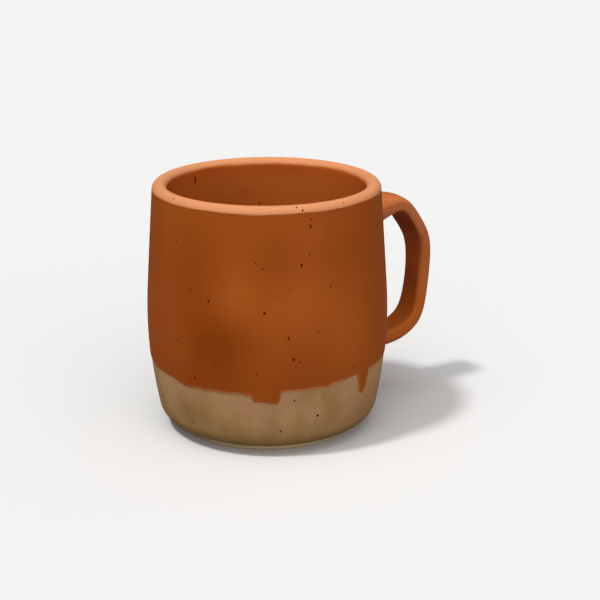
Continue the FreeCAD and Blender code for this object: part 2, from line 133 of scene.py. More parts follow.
def inside_path(start):
    """The clay's inside from an angle on the lip down to the floor's middle, and the way out of it.

    Lip circle, straight lean, long arc, corner arc and level floor, one after another, each with
    its own number of points.
    """
    low = slope_to(INNER_TURN)
    reach = BELLY_ARC - WALL
    lip = arc(LIP_CENTRE, LIP, start, math.pi + LEAN, 22)
    lean = straight(lip[0][-1], ARC_CENTRE + reach * LEAN_WAY, -LEAN_WAY, 26)
    belly = arc(ARC_CENTRE, reach, LEAN, low, 36)
    turn = arc(INNER_TURN, INNER_CORNER, low, -QUARTER_TURN, 26)
    floor = straight(turn[0][-1], np.array([AXIS_GAP, FLOOR_HEIGHT]), np.array([0.0, 1.0]), 12)
    belly, turn = (belly[0], -belly[1]), (turn[0][1:], -turn[1][1:])
    return joined(lip, lean, belly, turn, floor)


def outside_path(start):
    """The clay's outside from an angle on the lip down over the wall and the foot to its middle.

    Lip circle, straight lean, long arc with wide and then close steps, corner arc, foot ring with
    two round edges, and recess with a round nook.
    """
    low = slope_to(OUTER_TURN)
    wide_end = math.asin((CLOSE_HEIGHT - BELLY_HEIGHT) / BELLY_ARC)
    close_start = math.asin((CLOSE_HEIGHT - CLOSE_STEP - BELLY_HEIGHT) / BELLY_ARC)
    foot = OUTER_TURN[0] - FOOT_SETBACK
    ring = foot - FOOT_RING_WIDTH
    edge = FOOT_EDGE
    up, out = np.array([0.0, 1.0]), np.array([1.0, 0.0])
    lip = arc(LIP_CENTRE, LIP, start, LEAN, 20)
    lean = straight(lip[0][-1], ARC_CENTRE + BELLY_ARC * LEAN_WAY, LEAN_WAY, 16)
    dipped = arc(ARC_CENTRE, BELLY_ARC, LEAN, wide_end, 12)
    bare = arc(ARC_CENTRE, BELLY_ARC, close_start, low, 58)
    turn = arc(OUTER_TURN, CORNER, low - CORNER_STEP, -QUARTER_TURN, 30)
    step = straight(turn[0][-1], np.array([foot, FOOT_HEIGHT]), -up, 1)
    side = straight(np.array([foot, FOOT_HEIGHT]), np.array([foot, edge]), out, 6)
    heel = arc(np.array([foot - edge, edge]), edge, 0, -QUARTER_TURN, 8)
    under = straight(heel[0][-1], np.array([ring + edge, 0]), -up, 4)
    toe = arc(np.array([ring + edge, edge]), edge, -QUARTER_TURN, -math.pi, 8)
    nook = arc(np.array([ring - edge, FOOT_RECESS - edge]), edge, 0, QUARTER_TURN, 8)
    nook = nook[0], -nook[1]
    recess = straight(nook[0][-1], np.array([AXIS_GAP, FOOT_RECESS]), -up, 20)
    return joined(lip, lean, dipped, bare, turn, step, side, heel, under, toe, nook, recess)


def turned(path, azimuth, grown=0.0):
    """Carries a side view round the axis: out = path + grown * way, x = out cos, y = out sin."""
    points, way = path
    radius = points[:, :1] + grown * way[:, :1]
    height = points[:, 1:] + grown * way[:, 1:]
    height = height + np.zeros_like(azimuth)
    return np.stack([radius * np.cos(azimuth), radius * np.sin(azimuth), height], axis=2)


def volume(points, faces):
    """Six times the signed volume: each face's corner fan, as triple products from the origin."""
    first, second, third = (points[faces[:, k]] for k in (0, 1, 2))
    total = np.einsum("ij,ij->", first, np.cross(second, third))
    if faces.shape[1] == 4:
        fourth = points[faces[:, 3]]
        total += np.einsum("ij,ij->", first, np.cross(third, fourth))
    return total


def grid_faces(rows, columns, poles):
    """Quads and fans of a grid whose point (row, column) is numbered row * columns + column.

    Each point is joined to the next row and to the next column, and the last column to the
    first. With poles the end rows are fanned to two more points, and without them the last row
    is joined to the first.
    """
    number = np.arange(rows * columns).reshape(rows, columns)
    beside = np.roll(number, -1, axis=1)
    if not poles:
        below, below_beside = np.roll(number, -1, axis=0), np.roll(beside, -1, axis=0)
        quads = np.stack([number, beside, below_beside, below], axis=2)
        return quads.reshape(-1, 4), np.zeros((0, 3), int)
    quads = np.stack([number[:-1], beside[:-1], beside[1:], number[1:]], axis=2)
    count = rows * columns
    top = np.stack([np.full(columns, count), beside[0], number[0]], axis=1)
    end = np.stack([np.full(columns, count + 1), number[-1], beside[-1]], axis=1)
    return quads.reshape(-1, 4), np.concatenate([top, end])


def new_piece(name, points, quads, fans, marks):
    """An object in metres from points in millimetres, with one number per point for each mark.

    The faces are turned round if the volume comes out negative.
    """
    if volume(points, quads) + (volume(points, fans) if len(fans) else 0) < 0:
        quads, fans = quads[:, ::-1], fans[:, ::-1]
    mesh = bpy.data.meshes.new(name)
    mesh.from_pydata((points * MM).tolist(), [], quads.tolist() + fans.tolist())
    for mark, values in marks.items():
        layer = mesh.attributes.new(mark, "FLOAT", "POINT")
        flat = np.asarray(values, float).reshape(-1)
        flat = np.concatenate([flat, np.zeros(len(points) - len(flat))])
        layer.data.foreach_set("value", flat.astype(np.float32))
    mesh.shade_smooth()
    mesh.set_sharp_from_angle(angle=SHARP_ANGLE)
    piece = bpy.data.objects.new(name, mesh)
    bpy.context.scene.collection.objects.link(piece)
    return piece


def solid(name, grid, poles=(), marks=None):
    """A closed piece over a grid of points, rows by columns, with or without two poles."""
    quads, fans = grid_faces(*grid.shape[:2], len(poles))
    points = np.concatenate([grid.reshape(-1, 3), np.array(poles, float).reshape(-1, 3)])
    return new_piece(name, points, quads, fans, marks or {})


def soft_step(value):
    """0 below 0, 1 above 1, and 3v^2 - 2v^3 between."""
    share = np.clip(value, 0, 1)
    return share * share * (3 - 2 * share)


def patchy(azimuth, height, patches):
    """Soft round patches on the wall, each with its own middle, width, tallness and strength.

    Each adds its strength times an exponential of minus the squared distance in its own sizes.
    """
    total = np.zeros(np.broadcast(azimuth, height).shape)
    for degrees, level, wide, tall, strength in patches:
        turn = np.angle(np.exp(1j * (azimuth - math.radians(degrees))))
        across, up = BELLY_RADIUS * turn / wide, (height - level) / tall
        total = total + strength * np.exp(-(across**2) - up**2)
    return total


def linear(code):
    """An sRGB hex code as linear colour: v / 12.92 up to 0.04045, above it a power of 2.4."""
    value = np.array([int(code[k : k + 2], 16) for k in (1, 3, 5)]) / 255
    curve = np.where(value <= 0.04045, value / 12.92, ((value + 0.055) / 1.055) ** 2.4)
    return (*curve.tolist(), 1.0)


def add_node(material, kind, inputs=None, **settings):
    """Adds a node with its settings, and gives each input a value or another node's output."""
    node = material.node_tree.nodes.new(kind)
    for name, value in settings.items():
        setattr(node, name, value)
    for key, value in (inputs or {}).items():
        if isinstance(value, bpy.types.NodeSocket):
            material.node_tree.links.new(value, node.inputs[key])
        else:
            node.inputs[key].default_value = value
    return node


def new_material(name):
    """A material with no nodes in it yet."""
    material = bpy.data.materials.new(name)
    material.use_nodes = True
    material.node_tree.nodes.clear()
    return material


def layered_tone(material, ground, layers):
    """Colours laid one by one over a ground, each by its own share, as a colour output.

    A share with limits is stretched first: the first limit gives none of the colour and the second
    gives all of it, with a soft step between them.
    """
    tone = linear(ground)
    for share, limits, colour in layers:
        if limits:
            share = add_node(
                material,
                "ShaderNodeMapRange",
                {"Value": share, "From Min": limits[0], "From Max": limits[1]},
                interpolation_type="SMOOTHSTEP",
            ).outputs[0]
        tone = add_node(
            material, "ShaderNodeMix", {0: share, 6: tone, 7: linear(colour)}, data_type="RGBA"
        ).outputs[2]
    return tone


# Buff stoneware, trimmed leather-hard and fired bare: a dry, toothy surface, warm and clouded
# from the flame, with grog grains of about two thirds of a millimetre and a few iron specks.
# Its patterns' real sizes are in millimetres
CLAY_CLOUD = 7.7
CLAY_BLUSH = 26.3
GROG_GRAIN = 0.667
stoneware = new_material("bare_buff_stoneware")
place = add_node(stoneware, "ShaderNodeTexCoord").outputs["Object"]
# The clouds are drawn out a little in height, as the flame runs
upright = add_node(stoneware, "ShaderNodeMapping", {"Vector": place, "Scale": (1, 1, 0.6)})
clouds = add_node(
    stoneware,
    "ShaderNodeTexNoise",
    {"Vector": upright.outputs[0], "Scale": 1 / (CLAY_CLOUD * MM), "Detail": 3},
)
grog = add_node(
    stoneware, "ShaderNodeTexNoise", {"Vector": place, "Scale": 1 / (GROG_GRAIN * MM), "Detail": 2}
)
blush = add_node(
    stoneware, "ShaderNodeTexNoise", {"Vector": place, "Scale": 1 / (CLAY_BLUSH * MM), "Detail": 1}
)
high = add_node(stoneware, "ShaderNodeSeparateXYZ", {0: place}).outputs[2]
toast_mark, iron_mark = (
    add_node(stoneware, "ShaderNodeAttribute", attribute_name=mark).outputs["Fac"]
    for mark in ("toast", "iron")
)
tone = layered_tone(
    stoneware,
    "#BD915B",
    [
        (clouds.outputs[0], (0.32, 0.68), "#D0A471"),
        (blush.outputs[0], (0.42, 0.66), "#CE9B6F"),
        (toast_mark, None, "#A67C45"),
        # Painted shade, darker towards the foot, and a painted highlight on the ring that it stands
        # on
        (high, (14 * MM, 1 * MM), "#9C7443"),
        (high, (2.6 * MM, 2.1 * MM), "#EBCD9F"),
        (grog.outputs[0], (0.62, 0.8), "#A07646"),
        (iron_mark, None, "#4A2A14"),
    ],
)
tooth = add_node(
    stoneware,
    "ShaderNodeBump",
    {"Height": grog.outputs[0], "Strength": 0.25, "Distance": 0.1 * MM},
)
skin = add_node(
    stoneware,
    "ShaderNodeBsdfPrincipled",
    {
        "Base Color": tone,
        "Roughness": 0.85,
        "IOR": 1.5,
        "Specular IOR Level": 0.2,
        "Normal": tooth.outputs[0],
    },
)
add_node(stoneware, "ShaderNodeOutputMaterial", {"Surface": skin.outputs[0]})

columns = np.linspace(0, 2 * math.pi, CLAY_COLUMNS + 1)[:-1]
inner = inside_path(QUARTER_TURN)
outer = outside_path(QUARTER_TURN)
clay_path = joined(tuple(part[::-1] for part in inner), tuple(part[1:] for part in outer))
heights = clay_path[0][:, 1:]
trimmed = (heights > FOOT_HEIGHT) & (heights < TRIM_TOP)
trimmed = trimmed & (clay_path[0][:, :1] > OUTER_TURN[0] - TRIM_REACH)
rings = 0.5 + 0.5 * np.sin(2 * math.pi * heights / TRIM_PITCH + columns[None, :])
clay_grid = turned(clay_path, columns, -TRIM_DEPTH * trimmed * rings)
toasted = np.clip(patchy(columns, heights, TOAST), 0, 1)
clay_body = solid(
    "clay_body",
    clay_grid,
    poles=[(0, 0, FLOOR_HEIGHT), (0, 0, FOOT_RECESS)],
    marks={"toast": toasted},
)
clay_body.data.materials.append(stoneware)
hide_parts("body")
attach(clay_body, "root")

# Slip joints. The same clay, wetted to a paste, brushed on the scored wall and on the roots of
# the handle before they were pressed together. It dries a little darker than the body.

# Slip dried to a dull skin, with streaks as wide as the brush's tufts, in millimetres
BRUSH_STREAK = 2.5
slip = new_material("dried_joining_slip")
place = add_node(slip, "ShaderNodeTexCoord").outputs["Object"]
streaks = add_node(
    slip, "ShaderNodeTexNoise", {"Vector": place, "Scale": 1 / (BRUSH_STREAK * MM), "Detail": 3}
)
tone = layered_tone(slip, "#8E6A42", [(streaks.outputs[0], None, "#AA8458")])
skin = add_node(slip, "ShaderNodeBsdfPrincipled", {"Base Color": tone, "Roughness": 0.9})
add_node(slip, "ShaderNodeOutputMaterial", {"Surface": skin.outputs[0]})
for name in ("upper_joint_slip", "lower_joint_slip"):
    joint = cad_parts[name]
    joint.data.materials.clear()
    joint.data.materials.append(slip)

# Glaze on the outside. The fired mug was held by its foot and dipped: a satin iron glaze, a third
# of a millimetre thick, that ends in a thin soft edge on a slightly tilted line. Two runs slid
# below it, a wide one in front and a narrow one nearer the handle, whose lower root drew it down.

# The coat's thickness, what slow waves take off it, and how far in its round edge reaches
GLAZE = 0.3
GLAZE_WAVE = 0.03
EDGE_ROUND = 0.5
# The pale band's angles on the lip, and how wide its outer and inner edges fade
BAND_START = math.radians(10)
BAND_END = math.radians(160)
BAND_OUTER_FADE = 0.3
BAND_INNER_FADE = 1.1
# Points round the mug, rows between the close ones, rows of the coat's back, and steps in which
# the dip line is first walked
GLAZE_COLUMNS = 1200
MIDDLE_ROWS, BACK_ROWS = 36, 13
LINE_STEPS = 40000
# Height of the dip line in millimetres at each azimuth in degrees, counted from the handle
DIP_LINE = np.array(
    [
        (-199, 26.4), (-192, 25.9), (-184, 25.7), (-175.5, 25.8), (-171, 24.9), (-167, 24.3),
        (-162, 24.2), (-157, 24.4), (-150, 24.5), (-144, 24.6), (-140, 24.6), (-135, 24.5),
        (-132.6, 24.4), (-131.6, 24.0), (-130.8, 22.4), (-130.0, 22.05), (-125.1, 21.95),
        (-124.2, 21.55), (-120.4, 21.25), (-119.1, 21.6), (-118.1, 22.7), (-117.4, 24.6),
        (-117.0, 25.5), (-112, 25.6), (-106, 25.55), (-101, 25.5), (-95.3, 25.35),
        (-94.2, 25.7), (-92.8, 26.45), (-89, 26.7), (-83, 26.8), (-77.5, 27.0), (-77.0, 26.4),
        (-75.5, 22.8), (-74.4, 20.1), (-73.6, 19.2), (-72.3, 18.9), (-70.6, 18.9),
        (-69.9, 19.5), (-69.2, 21.3), (-68.4, 23.8), (-67.9, 25.5), (-67.6, 27.4),
        (-61, 27.2), (-54, 27.1), (-47, 27.2), (-30, 28.1), (-24, 28.0), (-19.5, 27.2),
        (-16, 25.4), (-13.5, 22.6), (-11.8, 19.4), (-10.4, 17.7), (-8, 17.0), (8, 17.2),
        (10.6, 18.0), (12, 19.8), (13.6, 23.2), (16.4, 26.8), (20, 29.2), (25, 30.6), (30, 31.1),
        (55, 30.6), (80, 30.3), (104, 29.0), (128, 28.3), (145, 27.2),
    ]
)
# Width of the dip's thin pale edge, and how pale it is at each azimuth, palest between the runs
EDGE_WIDTH = 1.3
EDGE_PALLOR = np.array(
    [
        (-180, 0.1), (-165, 0.15), (-158, 0.5), (-140, 0.6), (-132, 0.45), (-130, 0.12),
        (-119, 0.12), (-117, 0.8), (-98, 0.9), (-94, 0.5), (-88, 0.2), (-66, 0.3), (-40, 0.6),
        (0, 0.3), (50, 0.6), (110, 0.25), (150, 0.5),
    ]
)
# How full the coat's colour is, and its darker and lighter patches: partly thicker and thinner
# glaze, partly painted shade on the side towards the key light and painted light nearer the front.
# Each has an azimuth in degrees, height, width, tallness and strength
FULLNESS = 0.5
PATCHES_AND_SHADE = [
    (-146, 42, 13, 10, 0.5), (-160, 66, 12, 22, 0.3), (-120, 72, 8, 12, 0.28),
    (-150, 28, 20, 7, 0.25), (-108, 60, 11, 14, -0.4), (-88, 44, 12, 12, -0.25),
    (-138, 60, 8, 9, -0.2), (-96, 82, 16, 7, -0.3), (-60, 62, 9, 24, 0.12),
    (-80, 78, 8, 9, 0.15), (-20, 50, 18, 16, -0.3), (10, 36, 14, 12, 0.4),
    (38, 66, 16, 14, 0.3), (60, 42, 14, 12, -0.35), (95, 58, 15, 18, 0.35),
    (128, 40, 14, 12, -0.3), (150, 68, 14, 12, 0.25),
]
# Waves round the mug on the dip line and on the band's edges: depth, turns and phase
DIP_WAVES = ((0.07, 31, 0.4), (0.05, 53, 2.1), (0.04, 89, 5.0), (0.03, 137, 1.3))
BAND_WAVES = ((0.12, 4, 1), (0.12, 9, 0), (0.06, 23, 0))
# Waves in the coat's thickness: turns round the mug, millimetres of height to a radian, and phase
COAT_WAVES = ((3, 9, 0), (5, -6, 2))


def waves_round(azimuth, waves):
    """Sum of waves round the mug: each depth times the sine of its turns plus its phase."""
    return sum(depth * np.sin(turns * azimuth + phase) for depth, turns, phase in waves)


def dip_height(azimuth):
    """Height of the dip line: the table, joined straight and closed in a ring, plus small waves."""
    degrees, level = DIP_LINE.T
    height = np.interp(np.degrees(azimuth), degrees, level, period=360)
    return height + waves_round(azimuth, DIP_WAVES)


def outer_wall(height):
    """Radius of the bare wall's outside at a height, and the slope of the way out of it.

    The slope is arcsin of the height over the arc's radius, below the turn and on the lip; it is
    the lean between them. The radius is the arc's centre plus its radius times the cosine.
    """
    on_arc = np.arcsin(np.clip((height - BELLY_HEIGHT) / BELLY_ARC, -1, 1))
    on_lip = np.arcsin(np.clip((height - LIP_HEIGHT) / LIP, -1, 1))
    slope = np.where(height < TURN_HEIGHT, on_arc, np.maximum(LEAN, on_lip))
    arc_radius = ARC_CENTRE[0] + BELLY_ARC * np.cos(on_arc)
    lean_radius = TURN_RADIUS - (height - TURN_HEIGHT) * math.tan(LEAN)
    lip_radius = LIP_RADIUS + LIP * np.cos(on_lip)
    upper = np.where(on_lip > LEAN, lip_radius, lean_radius)
    return np.where(height < TURN_HEIGHT, arc_radius, upper), slope


def on_outer_wall(azimuth, height, grown):
    """Points over the wall: its radius and height plus the growth along the way out."""
    radius, slope = outer_wall(height)
    radius = radius + grown * np.cos(slope)
    lifted = height + grown * np.sin(slope)
    return np.stack([radius * np.cos(azimuth), radius * np.sin(azimuth), lifted], axis=-1)


def coat_depth(azimuth, height):
    """The coat's thickness: full, less two slow waves that climb the wall and cross each other."""
    waves = sum(
        np.sin(turns * azimuth + height / rise + phase) for turns, rise, phase in COAT_WAVES
    )
    return GLAZE - GLAZE_WAVE * (1 + waves / 2)


def distance_to_line(across, up, line):
    """Shortest distance from points to a line of straight pieces, all on the unrolled wall.

    Each point is dropped on each piece at the share where its foot falls, kept from 0 to 1.
    """
    start, way = line[:-1], np.diff(line, axis=0)
    gap = np.stack([across, up], axis=-1)[:, None, :] - start[None]
    share = np.clip((gap * way).sum(2) / (way**2).sum(1), 0, 1)
    return np.linalg.norm(gap - share[..., None] * way, axis=2).min(axis=1)


def band_share(azimuth, along):
    """1 on the lip's pale band and 0 off it, from the arc length past the lip's outermost point.

    The outer edge is crisp, the inner one fades over about a millimetre, and both wander a little.
    """
    reach = LIP + GLAZE
    wander = waves_round(azimuth, BAND_WAVES)
    start = (along - BAND_START * reach - wander) / BAND_OUTER_FADE
    end = (along - BAND_END * reach + wander) / BAND_INNER_FADE
    return soft_step(start + 0.5) * (1 - soft_step(end + 0.5))


# Even steps along the line itself, so that the steep sides of the runs get as many columns
fine = np.linspace(-math.pi, math.pi, LINE_STEPS + 1)
trace = np.stack([BELLY_RADIUS * fine, dip_height(fine)], axis=1)
walked = np.concatenate([[0], np.cumsum(np.linalg.norm(np.diff(trace, axis=0), axis=1))])
columns = np.interp(np.linspace(0, walked[-1], GLAZE_COLUMNS + 1)[:-1], walked, fine)
line_height = dip_height(columns)
top_height = LIP_HEIGHT + LIP * math.sin(BAND_START)
# Rows of points stand close together over the dip line and under the pale band, at these
# distances from them
near_line = np.array([0, 0.03, 0.08, 0.15, 0.25, 0.38, 0.55, 0.8, 1.1, 1.6, 2.3, 3.2, 4.5])
near_top = np.array([1.4, 1.0, 0.75, 0.55, 0.4, 0.28, 0.18, 0.09, 0])
between = np.linspace(0, 1, MIDDLE_ROWS + 2)[1:-1, None]
low, high = line_height + near_line[-1], top_height - near_top[0]
rows = np.concatenate(
    [line_height + near_line[:, None], low + between * (high - low)]
    + [np.repeat(top_height - near_top[:, None], GLAZE_COLUMNS, axis=1)]
)
wide = np.concatenate([columns, [columns[0] + 2 * math.pi]])
line = np.stack([BELLY_RADIUS * wide, np.append(line_height, line_height[0])], axis=1)
reached = rows - line_height
for row in range(len(near_line)):
    reached[row] = distance_to_line(BELLY_RADIUS * columns, rows[row], line)
rounding = np.sqrt(1 - (1 - np.clip(reached / EDGE_ROUND, 0, 1)) ** 2)
azimuths = np.broadcast_to(columns, rows.shape)
faces_out = on_outer_wall(azimuths, rows, coat_depth(azimuths, rows) * rounding)
back = line_height + np.linspace(1, 0, BACK_ROWS + 1)[:-1, None] * (top_height - line_height)
faces_in = on_outer_wall(np.broadcast_to(columns, back.shape), back, 0.0)


def edge_pallor(azimuth, distance):
    """How pale the thin edge of the dip is: strongest at the line, gone just past a millimetre."""
    degrees, strength = EDGE_PALLOR.T
    most = np.interp(np.degrees(azimuth), degrees, strength, period=360)
    return most * (1 - soft_step(distance / EDGE_WIDTH))


lip_side = (rows - LIP_HEIGHT) * (LIP + GLAZE) / LIP
pale = np.maximum(band_share(azimuths, lip_side), edge_pallor(azimuths, reached))
# The coat's fullness, with painted shade and painted light in its patches
full = np.clip(FULLNESS + patchy(azimuths, rows, PATCHES_AND_SHADE), 0, 1)
outer_coat = solid(
    "dipped_outer_glaze",
    np.concatenate([faces_out, faces_in]),
    marks={
        "pale": np.concatenate([pale, np.zeros_like(back)]),
        "full": np.concatenate([full, np.zeros_like(back)]),
    },
)

# Iron-bearing satin glaze, oxidised to burnt orange: opaque and softly clouded where it lies
# thicker or thinner, pale salmon where it breaks thin on an edge, with iron specks bled through.
# Painted shade darkens the handle's inner face and some patches of the wall, and painted light
# lightens the inside of the cup, the handle's upper part and other patches of the wall.
# Its patterns' real sizes are in millimetres
GLAZE_CLOUD = 19.2
GLAZE_DRIFT = 41.7
ORANGE_PEEL = 1.11
glaze = new_material("iron_orange_satin_glaze")
place = add_node(glaze, "ShaderNodeTexCoord").outputs["Object"]
# The clouds are drawn out in height, as the coat ran before it set
upright = add_node(glaze, "ShaderNodeMapping", {"Vector": place, "Scale": (1, 1, 0.55)})
clouds = add_node(
    glaze,
    "ShaderNodeTexNoise",
    {"Vector": upright.outputs[0], "Scale": 1 / (GLAZE_CLOUD * MM), "Detail": 1.5},
)
drift = add_node(
    glaze,
    "ShaderNodeTexNoise",
    {"Vector": upright.outputs[0], "Scale": 1 / (GLAZE_DRIFT * MM), "Detail": 0.5},
)
peel = add_node(
    glaze, "ShaderNodeTexNoise", {"Vector": place, "Scale": 1 / (ORANGE_PEEL * MM), "Detail": 1}
)
full_and_shade_mark, painted_inner_light_mark, pale_mark, iron_mark = (
    add_node(glaze, "ShaderNodeAttribute", attribute_name=mark).outputs["Fac"]
    for mark in ("full", "painted_inner_light", "pale", "iron")
)
tone = layered_tone(
    glaze,
    "#C66226",
    [
        (clouds.outputs[0], (0.34, 0.66), "#CE6A27"),
        (drift.outputs[0], (0.45, 0.62), "#D46E28"),
        # Fuller coat, and painted shade on the handle's inner face and in patches of the wall
        (full_and_shade_mark, None, "#9A460C"),
        # Painted light inside the cup
        (painted_inner_light_mark, None, "#C9702C"),
        # Thin glaze on the rim band, the dip's edge and the handle's edges, and painted light on
        # the handle's upper, lit part
        (pale_mark, None, "#EC9E6D"),
        (iron_mark, None, "#4A1907"),
    ],
)
ripple = add_node(
    glaze,
    "ShaderNodeBump",
    {"Height": peel.outputs[0], "Strength": 0.12, "Distance": 0.1 * MM},
)
skin = add_node(
    glaze,
    "ShaderNodeBsdfPrincipled",
    {
        "Base Color": tone,
        "Roughness": 0.6,
        "IOR": 1.5,
        "Specular IOR Level": 0.05,
        "Normal": ripple.outputs[0],
    },
)
add_node(glaze, "ShaderNodeOutputMaterial", {"Surface": skin.outputs[0]})
outer_coat.data.materials.append(glaze)
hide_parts("outer_glaze")
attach(outer_coat, "root")

# Pale band on the rim. The same glaze, drawn thin over the thick round lip while it was molten,
# so that it broke from orange to salmon there.

BAND_COLUMNS, BAND_ROWS = 480, 64
columns = np.linspace(0, 2 * math.pi, BAND_COLUMNS + 1)[:-1]
band = arc(LIP_CENTRE, LIP, BAND_START, BAND_END, BAND_ROWS)
along = np.linspace(BAND_START, BAND_END, BAND_ROWS)[:, None] * (LIP + GLAZE)
outward = turned(band, columns, GLAZE)
inward = turned(tuple(part[::-4] for part in band), columns)
pale = band_share(columns[None, :], along)
rim_coat = solid(
    "pale_rim_glaze",
    np.concatenate([outward, inward]),
    marks={"pale": np.concatenate([pale, np.zeros(inward.shape[:2])])},
)
rim_coat.data.materials.append(glaze)
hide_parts("rim_glaze")
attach(rim_coat, "root")

# Glaze inside. Poured in and out before the dip, over the whole wall and floor. Under it are the
# slow rings that the thrower's fingers left.

# The rings start a little below the band, grow over a few millimetres and die out on the floor
THROW_PITCH = 8.5
THROW_DEPTH = 0.12
THROW_START, THROW_GROWTH, THROW_END = 6.0, 20.0, 12.0
# Arc length past the lip's outermost point where painted light starts to make the inside lighter
# and more golden, and how slowly it grows
INNER_LIGHT_START, INNER_LIGHT_FADE = 8.38, 6.0
# The coat's back is sunk this far into the clay
SUNK = 0.02
path = inside_path(BAND_END)
steps = np.linalg.norm(np.diff(path[0], axis=0), axis=1)
along = BAND_END * (LIP + GLAZE) + np.concatenate([[0], np.cumsum(steps)])[:, None]
fade = soft_step((along - along[0] - THROW_START) / THROW_GROWTH)
fade = fade * soft_step((along[-1] - along) / THROW_END)
waves = 0.5 + 0.5 * np.sin(2 * math.pi * along / THROW_PITCH - columns)
inside = turned(path, columns, GLAZE - THROW_DEPTH * fade * waves)
backed = turned(tuple(part[::-3] for part in path), columns, -SUNK)
surface = np.concatenate(
    [inside[::-1], turned((path[0][:1], path[1][:1]), columns), backed[::-1]]
)
pale = band_share(columns[None, :], along)[::-1]
# Painted light over the inside wall and floor
painted_inner_light = np.broadcast_to(soft_step((along - INNER_LIGHT_START) / INNER_LIGHT_FADE)[::-1], pale.shape)
liner = solid(
    "poured_liner_glaze",
    surface,
    poles=[(0, 0, FLOOR_HEIGHT + GLAZE), (0, 0, FLOOR_HEIGHT - SUNK)],
    marks={"pale": pale, "painted_inner_light": painted_inner_light},
)
liner.data.materials.append(glaze)
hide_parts("liner_glaze")
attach(liner, "root")

# Handle. A strap pulled from a wet lump of the same clay, bent while soft and pressed on with
# slip; its two roots are smoothed out on the wall with a thumb. Glaze covers all of it.

# Radii of the section's round edges and tight inner corners, as shares of its thickness, and how
# far the corners' share swings along the strap and shrinks at the wall
STRAP_EDGE = 0.38
STRAP_CORNER, CORNER_SWING = 0.27, 0.09
ROOT_CORNER_LOSS = 0.5
# How far the section spreads where it meets the wall, and the distance over which that fades
ROOT_SPREAD = 0.7
ROOT_FADE = 1.8
# Points along the strap and round it, and the runs that its section is made of
ALONG, AROUND = 180, 80
SECTION_RUNS = 8
# Stations of the strap's centre line: distance from the axis, height, width and thickness
STRAP = np.array(
    [
        (38.85, 72.3, 15.3, 11.4), (44.87, 72.5, 14.7, 8.7), (51.24, 74.15, 14.6, 6.8),
        (57.9, 74.15, 14.0, 4.8), (64.5, 67.8, 13.4, 4.5), (69.95, 58.6, 12.0, 4.9),
        (71.03, 47.22, 10.5, 5.7), (69.9, 35.7, 10.1, 5.95), (66.8, 26.74, 10.5, 6.07),
        (59.82, 22.13, 10.77, 6.21), (49.11, 20.93, 11.96, 6.65), (39.9, 20.73, 13.14, 7.59),
    ]
)


def smooth_through(knots, values, at):
    """A natural cubic spline through values at knots, read at other places.

    The second derivatives solve one linear system, zero at the ends; each reading is the usual
    cubic of its interval.
    """
    step = np.diff(knots)
    system = np.diag(np.concatenate([[1], 2 * (step[:-1] + step[1:]), [1]]))
    inner_rows = np.arange(1, len(knots) - 1)
    system[inner_rows, inner_rows - 1] = step[:-1]
    system[inner_rows, inner_rows + 1] = step[1:]
    slope = np.diff(values, axis=0) / step[:, None]
    bend = np.zeros_like(values)
    bend[1:-1] = 6 * np.diff(slope, axis=0)
    bend = np.linalg.solve(system, bend)
    k = np.clip(np.searchsorted(knots, at) - 1, 0, len(step) - 1)
    width = step[k][:, None]
    ahead = (knots[k + 1] - at)[:, None] / width
    behind = 1 - ahead
    cubic = (ahead**3 - ahead) * bend[k] + (behind**3 - behind) * bend[k + 1]
    return ahead * values[k] + behind * values[k + 1] + cubic * width**2 / 6


chord = np.linalg.norm(np.diff(STRAP[:, :2], axis=0), axis=1)
knots = np.concatenate([[0], np.cumsum(chord)])
strap_at = np.linspace(0, knots[-1], ALONG)
strap = smooth_through(knots, STRAP, strap_at)
heading = np.gradient(strap[:, :2], strap_at, axis=0)
heading /= np.linalg.norm(heading, axis=1, keepdims=True)
outward = np.stack([-heading[:, 1], heading[:, 0]], axis=1)


def strap_section(width, thickness, corner, grown, turns):
    """Across and out of the strap's section at shares of a turn: a low dome over a flat face.

    Eight runs of ten points follow each other: round edge, two of dome, round edge, side, tight
    turn, flat face, tight turn and side. The dome's centre lies so that it touches both edges.
    """
    half, thick = width / 2, thickness / 2
    edge = STRAP_EDGE * thickness
    inset = half - edge
    dome = (inset**2 + thick**2 - edge**2) / (2 * (thick - edge))
    slope = np.arctan2(dome - thick, inset)
    which = (turns * SECTION_RUNS).astype(int) % SECTION_RUNS
    part = turns * SECTION_RUNS % 1
    first = slope * part
    over = slope + (QUARTER_TURN - slope) * part
    past = QUARTER_TURN + (QUARTER_TURN - slope) * part
    last = math.pi - slope * (1 - part)
    tight = math.pi + QUARTER_TURN * part
    edge, dome_grown, turn = edge + grown, dome + grown, corner + grown
    flat = (half - corner) * (2 * part - 1)
    across = np.select(
        [which == k for k in range(7)],
        [
            inset + edge * np.cos(first),
            dome_grown * np.cos(over),
            dome_grown * np.cos(past),
            -inset + edge * np.cos(last),
            corner - half + turn * np.cos(tight),
            flat,
            half - corner - turn * np.cos(math.pi + QUARTER_TURN * (1 - part)),
        ],
        half + grown,
    )
    out = np.select(
        [which == k for k in range(7)],
        [
            edge * np.sin(first),
            thick - dome + dome_grown * np.sin(over),
            thick - dome + dome_grown * np.sin(past),
            edge * np.sin(last),
            corner - thick + turn * np.sin(tight),
            -thick - grown + 0 * part,
            corner - thick + turn * np.sin(math.pi + QUARTER_TURN * (1 - part)),
        ],
        (corner - thick) * (1 - part),
    )
    return across, out


